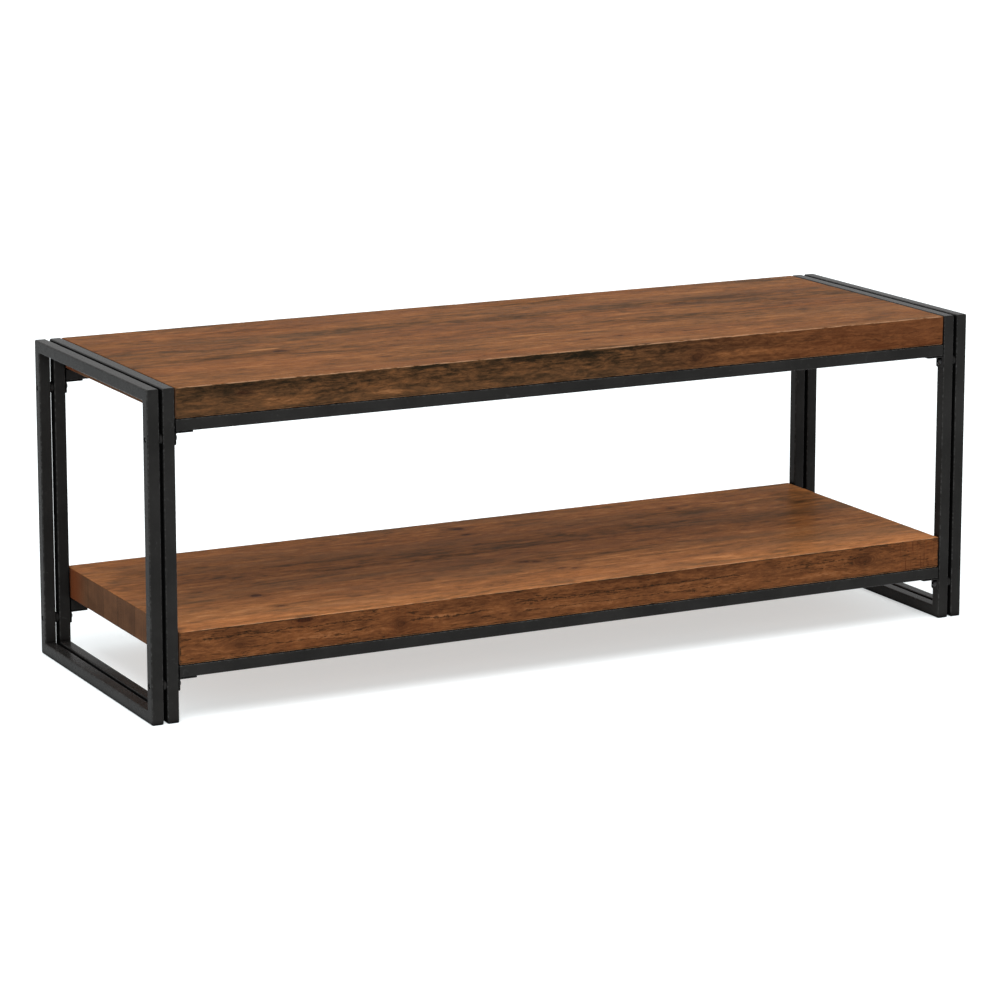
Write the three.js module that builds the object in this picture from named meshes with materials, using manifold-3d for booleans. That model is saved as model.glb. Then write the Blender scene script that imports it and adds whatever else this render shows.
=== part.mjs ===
// Entryway bench: a thick wooden seat and a thick wooden shelf on four square-tube rails, bolted between
// two steel ends. Each end is a pair of welded rectangular tube frames that stand side by side with a
// narrow gap, held apart by round spacers on the bolts.
// Millimetres, +Z up, +X along the bench, -Y is the front. The origin is the middle of the footprint, on
// the floor.
import * as THREE from "three";
import { mergeVertices } from "three/addons/utils/BufferGeometryUtils.js";
import Module from "manifold-3d";

const wasm = await Module();
wasm.setup();

// Overall sizes
const LENGTH = 1219; // over the outer frames, along X
const DEPTH = 400; // over the legs, along Y
const HEIGHT = 430; // floor to the top of the seat
const SHELF_HEIGHT = 117; // floor to the top of the shelf

// Square steel tube of the frames and rails
const TUBE = 16; // outside, both ways
const TUBE_WALL = 1.5;
const TUBE_CORNER = 2; // outside corner radius
const FRAME_GAP = 5; // between the outer and inner frame of an end

// Boards
const SEAT_THICKNESS = 40;
const SHELF_THICKNESS = 43;
const BOARD_EDGE = 1.2; // radius of the eased long edges

// Angle brackets that hang the rails on the inner frames
const BRACKET_LENGTH = 25; // under the rail
const BRACKET_DROP = 16.5; // down the leg
const BRACKET_THICKNESS = 1.5;

// Button-head bolts through bracket, inner frame, spacer and outer frame
const BOLT_DIAMETER = 6;
const BOLT_HEAD_DIAMETER = 11.5;
const BOLT_HEAD_HEIGHT = 3.6;
const BOLT_END_RECESS = 1; // bolt end below the outer face of the outer frame
const BOLT_CHAMFER = 0.6;
const SOCKET_FLATS = 4; // across the flats of the hexagon
const SOCKET_DEPTH = 2.2;
const SPACER_DIAMETER = 14;

// Pan-head wood screws up through the rails into the boards
const SCREWS_PER_RAIL = 3;
const SCREW_DIAMETER = 4.5;
const SCREW_HEAD_DIAMETER = 9;
const SCREW_HEAD_HEIGHT = 2.4;
const SCREW_BITE = 22; // length inside the board
const SCREW_POINT = 5; // length of the cone at the tip
const SCREW_END_MARGIN = 140; // from a board's end to its first screw

// Clearances
const TOUCH = 0.3; // between pieces that bear on or are welded to each other
const END_CLEARANCE = 1.3; // board and rail ends to the inner frames
const HOLE_CLEARANCE = 0.35; // round a shank in its hole, on the radius
const HEAD_CLEARANCE = 0.4; // bolt head to the underside of the bracket
const PILOT_CLEARANCE = 1; // beyond the tip of a screw
const ACCESS_CLEARANCE = 0.8; // round a screw head in the access hole under it, on the radius
const OVERSHOOT = 1; // how far a cutter stands past the face it cuts
const MERGE_DISTANCE = 1e-4; // points nearer than this are one point

// Facets
const CORNER_FACETS = 3;
const ROUND_FACETS = 16;
const SCREW_FACETS = 12;
const DOME_FACETS = 4;
const HEXAGON_FACETS = 6;

// Sizes that follow
const endWidth = 2 * TUBE + FRAME_GAP;
const innerFace = LENGTH / 2 - endWidth; // distance of each inner frame's inner face from the middle
const boardLength = 2 * (innerFace - END_CLEARANCE);
const legCentreY = DEPTH / 2 - TUBE / 2;
const boltRadius = BOLT_DIAMETER / 2;
const screwRadius = SCREW_DIAMETER / 2;
const bracketWidth = TUBE - 2 * TOUCH;
const headSeat = TOUCH + BRACKET_THICKNESS + TOUCH; // inner frame's face to the underside of a bolt head
const boltLength = headSeat + endWidth - BOLT_END_RECESS;
const boltDrop = TOUCH + BRACKET_THICKNESS + HEAD_CLEARANCE + BOLT_HEAD_DIAMETER / 2;
const boards = [
  { name: "seat", top: HEIGHT, thickness: SEAT_THICKNESS },
  { name: "shelf", top: SHELF_HEIGHT, thickness: SHELF_THICKNESS },
];
for (const board of boards) {
  board.bottom = board.top - board.thickness;
  board.railBottom = board.bottom - TOUCH - TUBE;
  board.boltHeight = board.railBottom - boltDrop;
  board.screwSeat = board.railBottom + TUBE - TUBE_WALL - TOUCH; // underside of the screw heads, in the rail
}
const ends = [
  { name: "left", side: -1 },
  { name: "right", side: 1 },
];
const faces = [
  { name: "front", side: -1 },
  { name: "back", side: 1 },
];

const steel = new THREE.MeshStandardMaterial({ color: 0x2f3031, roughness: 0.5, metalness: 0.5 });
const bracketSteel = new THREE.MeshStandardMaterial({ color: 0x2a2b2c, roughness: 0.55, metalness: 0.5 });
const blackOxide = new THREE.MeshStandardMaterial({ color: 0x1b1b1c, roughness: 0.4, metalness: 0.8 });
const zinc = new THREE.MeshStandardMaterial({ color: 0x9a9c9e, roughness: 0.35, metalness: 0.9 });
const wood = new THREE.MeshStandardMaterial({ color: 0x6e4429, roughness: 0.5, metalness: 0 });

// A closed geometry as a solid that can be cut.
function toSolid(geometry) {
  const bare = new THREE.BufferGeometry();
  bare.setAttribute("position", geometry.getAttribute("position"));
  bare.setIndex(geometry.index);
  const merged = mergeVertices(bare, MERGE_DISTANCE);
  const vertProperties = merged.getAttribute("position").array;
  const triVerts = new Uint32Array(merged.index.array);
  return new wasm.Manifold(new wasm.Mesh({ numProp: 3, vertProperties, triVerts }));
}

// geometry with each of the cutters taken out of it.
function cut(geometry, cutters) {
  let solid = toSolid(geometry);
  for (const cutter of cutters) {
    solid = solid.subtract(toSolid(cutter));
  }
  const mesh = solid.getMesh();
  const result = new THREE.BufferGeometry();
  result.setAttribute("position", new THREE.BufferAttribute(mesh.vertProperties, 3));
  result.setIndex(new THREE.BufferAttribute(mesh.triVerts, 1));
  result.computeVertexNormals();
  return result;
}

// A hole cutter along X, centred on (0, y, z).
function holeAlongX(radius, length, y, z) {
  const cutter = new THREE.CylinderGeometry(radius, radius, length, ROUND_FACETS);
  return cutter.rotateZ(Math.PI / 2).translate(0, y, z);
}

// A hole cutter along Z from z1 up to z2.
function holeAlongZ(radius, x, y, z1, z2) {
  const cutter = new THREE.CylinderGeometry(radius, radius, z2 - z1, SCREW_FACETS);
  return cutter.rotateX(Math.PI / 2).translate(x, y, (z1 + z2) / 2);
}

// Rectangle centred on the origin with its corners rounded, as a shape or as a path for a hole.
function roundedRectangle(outline, width, height, radius) {
  const x = width / 2 - radius;
  const y = height / 2 - radius;
  const quarter = Math.PI / 2;
  outline.absarc(x, y, radius, 0, quarter);
  outline.absarc(-x, y, radius, quarter, 2 * quarter);
  outline.absarc(-x, -y, radius, 2 * quarter, 3 * quarter);
  outline.absarc(x, -y, radius, 3 * quarter, 4 * quarter);
  return outline;
}

function extruded(shape, depth, curveSegments) {
  const geometry = new THREE.ExtrudeGeometry(shape, { depth, bevelEnabled: false, curveSegments });
  return geometry.translate(0, 0, -depth / 2);
}

// Square tube along Z, centred on the origin and open at both ends.
function tubeGeometry(length) {
  const section = roundedRectangle(new THREE.Shape(), TUBE, TUBE, TUBE_CORNER);
  const bore = TUBE / 2 - TUBE_WALL;
  const inside = new THREE.Path();
  inside.moveTo(bore, bore).lineTo(bore, -bore).lineTo(-bore, -bore).lineTo(-bore, bore).lineTo(bore, bore);
  section.holes.push(inside);
  return extruded(section, length, CORNER_FACETS);
}

// Tube whose ends are mitred at 45 degrees, with its long side at -Y. Each cut stays half a joint clear
// of the mitre plane.
function mitredTubeGeometry(length) {
  const geometry = tubeGeometry(length);
  const position = geometry.getAttribute("position");
  const setback = TOUCH / Math.SQRT2;
  for (let i = 0; i < position.count; i++) {
    const fromLongSide = position.getY(i) + TUBE / 2;
    const end = Math.sign(position.getZ(i));
    position.setZ(i, end * (length / 2 - fromLongSide - setback));
  }
  return geometry;
}

// Leg of a frame: an upright mitred tube, drilled across for the bolts.
function legGeometry() {
  const radius = boltRadius + HOLE_CLEARANCE;
  const through = TUBE + 2 * OVERSHOOT;
  const drills = boards.map((board) => holeAlongX(radius, through, 0, board.boltHeight - HEIGHT / 2));
  return cut(mitredTubeGeometry(HEIGHT), drills);
}

// Where the screws of one rail stand, along X.
function screwPlaces() {
  const reach = boardLength / 2 - SCREW_END_MARGIN;
  const step = (2 * reach) / (SCREWS_PER_RAIL - 1);
  return Array.from({ length: SCREWS_PER_RAIL }, (_, i) => -reach + i * step);
}

// Rail along X. Each screw goes up through a hole in the top wall, and its head and the driver pass
// through a wider access hole in the bottom wall.
function railGeometry() {
  const reach = TUBE / 2 + OVERSHOOT;
  const access = SCREW_HEAD_DIAMETER / 2 + ACCESS_CLEARANCE;
  const drills = screwPlaces().flatMap((x) => [
    holeAlongZ(screwRadius + HOLE_CLEARANCE, x, 0, 0, reach),
    holeAlongZ(access, x, 0, -reach, 0),
  ]);
  return cut(tubeGeometry(boardLength).rotateY(Math.PI / 2), drills);
}

// Board along X with eased long edges and pilot holes in its underside.
function boardGeometry(thickness) {
  const section = roundedRectangle(new THREE.Shape(), thickness, DEPTH, BOARD_EDGE);
  const slab = extruded(section, boardLength, CORNER_FACETS).rotateY(Math.PI / 2);
  const underside = -thickness / 2;
  const top = underside + SCREW_BITE + PILOT_CLEARANCE;
  const pilots = [];
  for (const face of faces) {
    for (const x of screwPlaces()) {
      const y = face.side * legCentreY;
      pilots.push(holeAlongZ(screwRadius + HOLE_CLEARANCE, x, y, underside - OVERSHOOT, top));
    }
  }
  return cut(slab, pilots);
}

// Angle bracket with its corner at the origin: one flange runs along +X under the rail, the other hangs
// down the leg and takes the bolt.
function bracketGeometry() {
  const angle = new THREE.Shape([
    new THREE.Vector2(0, 0),
    new THREE.Vector2(0, -BRACKET_DROP),
    new THREE.Vector2(BRACKET_THICKNESS, -BRACKET_DROP),
    new THREE.Vector2(BRACKET_THICKNESS, -BRACKET_THICKNESS),
    new THREE.Vector2(BRACKET_LENGTH, -BRACKET_THICKNESS),
    new THREE.Vector2(BRACKET_LENGTH, 0),
  ]);
  const plate = extruded(angle, bracketWidth, 1).rotateX(Math.PI / 2);
  const boltBelow = boltDrop - TOUCH;
  const through = 2 * (BRACKET_THICKNESS + OVERSHOOT);
  return cut(plate, [holeAlongX(boltRadius + HOLE_CLEARANCE, through, 0, -boltBelow)]);
}

// Points of a dome of the given radius and height, from its rim up to the axis.
function domeProfile(radius, height) {
  const sphere = (radius * radius + height * height) / (2 * height);
  const rim = Math.asin(radius / sphere);
  return Array.from({ length: DOME_FACETS + 1 }, (_, i) => {
    const angle = rim * (1 - i / DOME_FACETS);
    const r = i === DOME_FACETS ? 0 : sphere * Math.sin(angle);
    return new THREE.Vector2(r, height - sphere * (1 - Math.cos(angle)));
  });
}

// Bolt along Y: underside of the head at the origin, dome towards +Y, hexagon socket in the dome.
function boltGeometry() {
  const profile = [
    new THREE.Vector2(0, -boltLength),
    new THREE.Vector2(boltRadius - BOLT_CHAMFER, -boltLength),
    new THREE.Vector2(boltRadius, -boltLength + BOLT_CHAMFER),
    new THREE.Vector2(boltRadius, 0),
    ...domeProfile(BOLT_HEAD_DIAMETER / 2, BOLT_HEAD_HEIGHT),
  ];
  const acrossCorners = SOCKET_FLATS / Math.sqrt(3);
  const socket = new THREE.CylinderGeometry(acrossCorners, acrossCorners, 2 * SOCKET_DEPTH, HEXAGON_FACETS);
  const body = new THREE.LatheGeometry(profile, ROUND_FACETS);
  return cut(body, [socket.translate(0, BOLT_HEAD_HEIGHT, 0)]);
}

// Screw along Z: underside of the head at the origin, point towards +Z.
function screwGeometry() {
  const shank = TOUCH + TUBE_WALL + TOUCH + SCREW_BITE;
  const head = domeProfile(SCREW_HEAD_DIAMETER / 2, SCREW_HEAD_HEIGHT);
  const profile = [
    new THREE.Vector2(0, -shank),
    new THREE.Vector2(screwRadius, -shank + SCREW_POINT),
    new THREE.Vector2(screwRadius, 0),
    ...head,
  ];
  return new THREE.LatheGeometry(profile, SCREW_FACETS).rotateX(-Math.PI / 2);
}

// Round spacer along X, between the two frames of an end.
function spacerGeometry() {
  const ring = new THREE.Shape().absarc(0, 0, SPACER_DIAMETER / 2, 0, 2 * Math.PI);
  ring.holes.push(new THREE.Path().absarc(0, 0, boltRadius + HOLE_CLEARANCE, 0, 2 * Math.PI, true));
  return extruded(ring, FRAME_GAP - 2 * TOUCH, ROUND_FACETS).rotateY(Math.PI / 2);
}

const bench = new THREE.Group();

function add(name, geometry, material, x, y, z) {
  const mesh = new THREE.Mesh(geometry, material);
  mesh.name = name;
  mesh.position.set(x, y, z);
  bench.add(mesh);
  return mesh;
}

// One welded rectangle of four mitred tubes, in the YZ plane at x.
function addFrame(name, x) {
  const leg = legGeometry();
  add(`${name}_front_leg`, leg, steel, x, -legCentreY, HEIGHT / 2);
  add(`${name}_back_leg`, leg, steel, x, legCentreY, HEIGHT / 2).rotation.z = Math.PI;
  const bar = mitredTubeGeometry(DEPTH);
  add(`${name}_top_bar`, bar, steel, x, 0, HEIGHT - TUBE / 2).rotation.x = -Math.PI / 2;
  add(`${name}_bottom_bar`, bar, steel, x, 0, TUBE / 2).rotation.x = Math.PI / 2;
}

// Bracket, bolt and spacer that hang one end of a rail on an end of the bench.
function addRailFixing(name, board, end, y) {
  const turn = end.side > 0 ? Math.PI : 0;
  const flangeTop = board.railBottom - TOUCH;
  const bracketX = end.side * (innerFace - TOUCH);
  add(`${name}_bracket`, bracketGeometry(), bracketSteel, bracketX, y, flangeTop).rotation.z = turn;
  const headX = end.side * (innerFace - headSeat);
  const bolt = add(`${name}_bolt`, boltGeometry(), blackOxide, headX, y, board.boltHeight);
  bolt.rotation.z = (end.side * Math.PI) / 2;
  const spacerX = end.side * (innerFace + TUBE + FRAME_GAP / 2);
  add(`${name}_spacer`, spacerGeometry(), bracketSteel, spacerX, y, board.boltHeight);
}

for (const end of ends) {
  addFrame(`${end.name}_outer`, end.side * (LENGTH / 2 - TUBE / 2));
  addFrame(`${end.name}_inner`, end.side * (innerFace + TUBE / 2));
}
for (const board of boards) {
  add(`${board.name}_board`, boardGeometry(board.thickness), wood, 0, 0, board.bottom + board.thickness / 2);
  for (const face of faces) {
    const name = `${board.name}_${face.name}`;
    const y = face.side * legCentreY;
    add(`${name}_rail`, railGeometry(), steel, 0, y, board.railBottom + TUBE / 2);
    ends.forEach((end) => addRailFixing(`${name}_${end.name}`, board, end, y));
    screwPlaces().forEach((x, i) => {
      add(`${name}_screw_${i + 1}`, screwGeometry(), zinc, x, y, board.screwSeat);
    });
  }
}

export default bench;
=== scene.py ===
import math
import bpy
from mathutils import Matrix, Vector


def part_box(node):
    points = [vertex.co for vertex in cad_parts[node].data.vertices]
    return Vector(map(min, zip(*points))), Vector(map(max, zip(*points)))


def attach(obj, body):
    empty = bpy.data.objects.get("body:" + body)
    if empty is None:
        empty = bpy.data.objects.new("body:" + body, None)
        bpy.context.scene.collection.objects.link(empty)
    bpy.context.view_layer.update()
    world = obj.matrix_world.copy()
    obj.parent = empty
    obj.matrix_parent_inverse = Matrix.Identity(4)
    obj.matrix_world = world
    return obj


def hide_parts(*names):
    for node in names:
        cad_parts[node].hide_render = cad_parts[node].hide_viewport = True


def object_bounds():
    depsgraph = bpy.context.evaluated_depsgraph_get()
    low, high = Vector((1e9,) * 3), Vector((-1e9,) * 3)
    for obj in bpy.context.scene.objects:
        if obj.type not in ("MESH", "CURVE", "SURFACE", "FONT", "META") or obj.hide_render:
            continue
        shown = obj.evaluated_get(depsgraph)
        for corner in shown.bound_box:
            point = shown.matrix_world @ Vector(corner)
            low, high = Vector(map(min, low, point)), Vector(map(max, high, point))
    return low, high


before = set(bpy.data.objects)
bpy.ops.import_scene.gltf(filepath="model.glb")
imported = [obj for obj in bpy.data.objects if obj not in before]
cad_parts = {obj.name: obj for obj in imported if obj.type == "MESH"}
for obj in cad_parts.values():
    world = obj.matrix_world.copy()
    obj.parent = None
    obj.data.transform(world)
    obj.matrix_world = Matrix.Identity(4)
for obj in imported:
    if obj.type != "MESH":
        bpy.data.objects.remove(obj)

# Looks of the entryway bench: two thick, satin-lacquered boards of stained wood between powder-coated steel
# ends. Metres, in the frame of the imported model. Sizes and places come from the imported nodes.
from types import SimpleNamespace

import bmesh
import bpy
from mathutils import Euler, Matrix, Vector, noise

CAD_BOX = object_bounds()
MM = 0.001
SHARP_ANGLE = math.radians(38)

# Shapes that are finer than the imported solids
TUBE_CORNER = 2.0 * MM
TUBE_WALL = 1.5 * MM
CORNER_STEPS = 5  # facets of one rounded tube edge
WELD_RADIUS = 1.1 * MM  # ground corner outside, weld fillet inside
WELD_STEPS = 4
RAIL_EASE = 0.25 * MM
HOLE_CLEARANCE = 0.35 * MM
ACCESS_CLEARANCE = 0.8 * MM
HOLE_STEPS = 32
ROUND_STEPS = 40
DOME_STEPS = 12
BOLT_RADIUS = 3.0 * MM
BOLT_HEAD_HEIGHT = 3.6 * MM
BOLT_RIM = 0.35 * MM  # eased rim of the head
BOLT_CHAMFER = 0.6 * MM
BOLT_THREAD = 18 * MM  # length of the thread
BOLT_THREAD_DEPTH = 0.55 * MM
BOLT_PITCH = 1.0 * MM
SOCKET_FLATS = 4.0 * MM
SOCKET_DEPTH = 2.2 * MM
LEAD_IN = (1.2 * MM, 3.4 * MM, 2.2 * MM)  # cone at the socket's mouth: its two radii and its height
SCREW_RADIUS = 2.25 * MM
SCREW_HEAD_HEIGHT = 2.4 * MM
SCREW_RIM = 0.2 * MM
SCREW_NECK = 4 * MM  # unthreaded length under the head
SCREW_CORE = 0.86 * SCREW_RADIUS
SCREW_STEPS = 24
SCREW_THREAD_DEPTH = 0.75 * MM
SCREW_PITCH = 1.8 * MM
SCREW_POINT = 5.0 * MM
CROSS = (4.6 * MM, 1.1 * MM, 3.0 * MM)  # length, width and height of one arm of the recess cutter
CROSS_TAPER = 0.55
THREAD_STEPS = 6  # rows of points in one turn of a thread
SPACER_EASE = 0.35 * MM
BRACKET_THICKNESS = 1.5 * MM
BRACKET_BEND = 1.9 * MM  # outside radius of the bend
BRACKET_CORNER = 2.4 * MM  # rounded corners of the flanges
BRACKET_STEPS = 6  # of the bend and of each rounded corner
BRACKET_EASE = 0.18 * MM

# Board surface
EDGE_RADIUS = 1.5 * MM
UNDER_RADIUS = 2.4 * MM
RIM_REACH = 4.0 * MM  # how far from an edge its wear can reach
EDGE_OFFSETS = [o * MM for o in (0, 0.35, 0.8, 1.3, 1.9, 2.6, 3.5, 4.6)]
BOARD_STEP = (3.4 * MM, 7.5 * MM, 2.4 * MM)

# Studio
FLOOR_REACH = 30.0
FLOOR_GAP = 0.2 * MM  # under the feet
PAPER_TONES = ((0.585, 0.605, 0.615, 1.0), (0.605, 0.625, 0.635, 1.0))
PAPER_GLOW = (0.925, 0.985, 1.0, 1.0)
PAPER_GLOW_STRENGTH = 0.52
OVERHEAD_STRENGTH = 2.3
OVERHEAD_SPREAD = math.radians(45)
OVERHEAD_TILT = Euler((math.radians(20), math.radians(-6), 0))
FILL_PLACE = Vector((-0.6, -3.2, 1.6))
FILL_TARGET = Vector((0, 0, 0.25))
FILL_SIZE = (2.4, 1.2)
FILL_POWER = 12.5
CAMERA_PLACE = (-2.2541, -4.3450, 1.2869)
CAMERA_PITCH = -0.1797  # from level
CAMERA_YAW = -0.4758
CAMERA_LENS = 131.7  # millimetres
CAMERA_SENSOR = 36.0
CAMERA_SHIFT = -0.15

ENDS = {"left": -1, "right": 1}
FACES = {"front": -1, "back": 1}
BOARDS = ("seat", "shelf")


# ---- mesh helpers

def new_object(name, mesh):
    obj = bpy.data.objects.new(name, mesh)
    bpy.context.scene.collection.objects.link(obj)
    return obj


def mesh_of(bm, name):
    bmesh.ops.recalc_face_normals(bm, faces=bm.faces)
    mesh = bpy.data.meshes.new(name)
    bm.to_mesh(mesh)
    bm.free()
    return mesh


def ring_mesh(rings, closed_rings=False, caps=False):
    """Joins rings of points into a skin. closed_rings joins the last ring to the first."""
    bm = bmesh.new()
    loops = [[bm.verts.new(point) for point in ring] for ring in rings]
    pairs = list(zip(loops, loops[1:]))
    if closed_rings:
        pairs.append((loops[-1], loops[0]))
    count = len(rings[0])
    for first, second in pairs:
        for i in range(count):
            j = (i + 1) % count
            bm.faces.new((first[i], first[j], second[j], second[i]))
    if caps:
        bm.faces.new(loops[0])
        bm.faces.new(list(reversed(loops[-1])))
    return bm


def drilled(bm, cutters):
    """bm with each cutter mesh taken out of it."""
    base = new_object("drill_base", mesh_of(bm, "drill_base"))
    joined = bmesh.new()
    for cutter in cutters:
        joined.from_mesh(cutter)
        bpy.data.meshes.remove(cutter)
    tool = new_object("drill_tool", mesh_of(joined, "drill_tool"))
    modifier = base.modifiers.new("drill", "BOOLEAN")
    modifier.operation = "DIFFERENCE"
    modifier.solver = "EXACT"
    modifier.object = tool
    depsgraph = bpy.context.evaluated_depsgraph_get()
    result = bmesh.new()
    result.from_mesh(base.evaluated_get(depsgraph).to_mesh())
    for obj in (base, tool):
        mesh = obj.data
        bpy.data.objects.remove(obj)
        bpy.data.meshes.remove(mesh)
    return result


def prism(radius, length, axis, centre, sides=HOLE_STEPS):
    """A drill: an upright prism turned onto an axis."""
    bm = bmesh.new()
    bmesh.ops.create_cone(bm, cap_ends=True, segments=sides, radius1=radius, radius2=radius, depth=length)
    turn = Vector((0, 0, 1)).rotation_difference(Vector(axis)).to_matrix().to_4x4()
    bmesh.ops.transform(bm, matrix=Matrix.Translation(centre) @ turn, verts=bm.verts)
    return mesh_of(bm, "drill")


def lathe(profile, steps, thread=None):
    """Turns (radius, height) points about Z. The profile starts and ends on the axis, or closes on itself
    where its first and last points are the same. thread(height, turn) is taken off the radius."""
    closed = profile[0] == profile[-1] and profile[0][0] > 0
    points = profile[:-1] if closed else profile
    bm = bmesh.new()
    rows = []
    for radius, height in points:
        if radius == 0:
            rows.append([bm.verts.new((0, 0, height))])
            continue
        row = []
        for i in range(steps):
            angle = 2 * math.pi * i / steps
            r = radius - (thread(height, i / steps) if thread else 0)
            row.append(bm.verts.new((r * math.cos(angle), r * math.sin(angle), height)))
        rows.append(row)
    pairs = list(zip(rows, rows[1:]))
    if closed:
        pairs.append((rows[-1], rows[0]))
    for low, high in pairs:
        for i in range(steps):
            j = (i + 1) % steps
            corners = [low[i % len(low)], low[j % len(low)], high[j % len(high)], high[i % len(high)]]
            bm.faces.new(list(dict.fromkeys(corners)))
    return bm


def bevelled(bm, width, segments, angle):
    """bm with the edges that turn by more than angle eased."""
    bmesh.ops.recalc_face_normals(bm, faces=bm.faces)
    bm.edges.ensure_lookup_table()
    sharp = [e for e in bm.edges if len(e.link_faces) == 2 and e.calc_face_angle() > angle]
    bmesh.ops.bevel(
        bm, geom=sharp, offset=width, segments=segments, affect="EDGES", profile=0.5, clamp_overlap=True)
    return bm


def add_piece(name, bm, materials, nodes, flat=True):
    """A finished piece that stands for nodes. flat keeps the shading of flat faces even."""
    bmesh.ops.remove_doubles(bm, verts=bm.verts, dist=1e-7)
    bmesh.ops.recalc_face_normals(bm, faces=bm.faces)
    for edge in bm.edges:
        edge.smooth = len(edge.link_faces) == 2 and edge.calc_face_angle() < SHARP_ANGLE
    for face in bm.faces:
        face.smooth = True
    piece = new_object(name, mesh_of(bm, name))
    for material in materials:
        piece.data.materials.append(material)
    if flat:
        weighted = piece.modifiers.new("even faces", "WEIGHTED_NORMAL")
        weighted.keep_sharp = True
        weighted.weight = 80
    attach(piece, "root")
    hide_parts(*nodes)
    return piece


def joined_box(names):
    boxes = [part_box(name) for name in names]
    low = Vector([min(box[0][i] for box in boxes) for i in range(3)])
    high = Vector([max(box[1][i] for box in boxes) for i in range(3)])
    return low, high


def middle(box):
    return (Vector(box[0]) + Vector(box[1])) / 2


# ---- shader helpers

def linear(red, green, blue, share=1.0):
    """A colour from its 0 to 255 screen values, as scene light, times share."""
    def channel(value):
        value /= 255
        return value / 12.92 if value <= 0.04045 else ((value + 0.055) / 1.055) ** 2.4
    return (channel(red) * share, channel(green) * share, channel(blue) * share, 1.0)


class Graph:
    """Adds nodes to one tree. A value is a socket, a number, a vector or a colour."""

    def __init__(self, tree):
        self.tree = tree

    def put(self, socket, value):
        if isinstance(value, bpy.types.NodeSocket):
            self.tree.links.new(value, socket)
        else:
            socket.default_value = value

    def add(self, kind, values=None, **settings):
        node = self.tree.nodes.new(kind)
        for key, value in settings.items():
            setattr(node, key, value)
        self.fill(node, values or {})
        return node

    def fill(self, node, values):
        for key, value in values.items():
            self.put(node.inputs[key], value)

    def use(self, group, *values):
        """Outputs of a node group whose inputs take values in their order."""
        node = self.add("ShaderNodeGroup", node_tree=group)
        for socket, value in zip(node.inputs, values):
            self.put(socket, value)
        return node.outputs

    def math(self, operation, first, second=0.0, clamp=False):
        node = self.add("ShaderNodeMath", operation=operation, use_clamp=clamp)
        for socket, value in zip(node.inputs, (first, second)):
            self.put(socket, value)
        return node.outputs[0]

    def times(self, first, second):
        return self.math("MULTIPLY", first, second)

    def total(self, start, *terms):
        """start and then each term, which is what scaled takes."""
        for term in terms:
            start = self.math("ADD", start, self.scaled(*term))
        return start

    def scaled(self, value, factor, zero=0.0):
        """(value - zero) * factor"""
        shifted = self.math("SUBTRACT", value, zero) if zero else value
        return self.times(shifted, factor)

    def parts(self, vector):
        return self.add("ShaderNodeSeparateXYZ", {"Vector": vector}).outputs

    def vector(self, x, y, z):
        return self.add("ShaderNodeCombineXYZ", {"X": x, "Y": y, "Z": z}).outputs[0]

    def noise(self, vector, scale=1.0, detail=2.0, rough=0.5, distortion=0.0):
        values = {"Vector": vector, "Scale": scale, "Detail": detail, "Roughness": rough,
                  "Distortion": distortion}
        return self.add("ShaderNodeTexNoise", values).outputs["Fac"]

    def stretched(self, x, per_x, y, per_y, z, detail, rough=0.5):
        """Noise whose spots are about 1 / per_x long and 1 / per_y wide. z picks the pattern."""
        return self.noise(self.vector(self.scaled(x, per_x), self.scaled(y, per_y), z), 1.0, detail, rough)

    def smooth(self, value, low, high, to_low=0.0, to_high=1.0):
        node = self.add("ShaderNodeMapRange", interpolation_type="SMOOTHSTEP")
        ends = {"From Min": low, "From Max": high, "To Min": to_low, "To Max": to_high}
        self.fill(node, {"Value": value, **ends})
        return node.outputs["Result"]

    def ramp(self, value, stops, interpolation="LINEAR"):
        node = self.add("ShaderNodeValToRGB", {"Fac": value})
        elements = node.color_ramp.elements
        node.color_ramp.interpolation = interpolation
        while len(elements) < len(stops):
            elements.new(1.0)
        for element, (position, colour) in zip(elements, stops):
            element.position = position
            element.color = colour if isinstance(colour, tuple) else (colour, colour, colour, 1.0)
        return node.outputs["Color"]

    def mix(self, factor, first, second, blend="MIX"):
        node = self.add("ShaderNodeMix", data_type="RGBA", blend_type=blend)
        self.fill(node, {0: factor, 6: first, 7: second})
        return node.outputs[2]

    def layered(self, colour, *layers):
        """colour under each layer's colour in turn. A layer is its mask, its share and its colour."""
        for mask, share, top in layers:
            colour = self.mix(self.scaled(mask, share), colour, top)
        return colour

    def bump(self, height, strength, distance):
        values = {"Strength": strength, "Distance": distance, "Height": height}
        return self.add("ShaderNodeBump", values).outputs[0]


def new_material(name):
    material = bpy.data.materials.new(name)
    material.use_nodes = True
    graph = Graph(material.node_tree)
    shader = material.node_tree.nodes["Principled BSDF"]
    return material, graph, shader


def new_group(name, inputs, outputs):
    tree = bpy.data.node_groups.new(name, "ShaderNodeTree")
    for key in inputs:
        tree.interface.new_socket(key, in_out="INPUT", socket_type="NodeSocketFloat")
    for key in outputs:
        tree.interface.new_socket(key, in_out="OUTPUT", socket_type="NodeSocketFloat")
    graph = Graph(tree)
    source = graph.add("NodeGroupInput").outputs
    target = graph.add("NodeGroupOutput").inputs
    return tree, graph, source, target


def elliptic(graph, source):
    """Squared distance from the group's centre in units of its length and width."""
    along = graph.math("SUBTRACT", source["Along"], source["Centre Along"])
    across = graph.math("SUBTRACT", source["Across"], source["Centre Across"])
    first = graph.math("DIVIDE", along, source["Length"])
    second = graph.math("DIVIDE", across, source["Width"])
    return graph.math("ADD", graph.times(first, first), graph.times(second, second)), across


PLACED = ("Along", "Across", "Centre Along", "Centre Across", "Length", "Width")
CRACK_FADE = 0.03  # length over which a crack opens and closes


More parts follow.
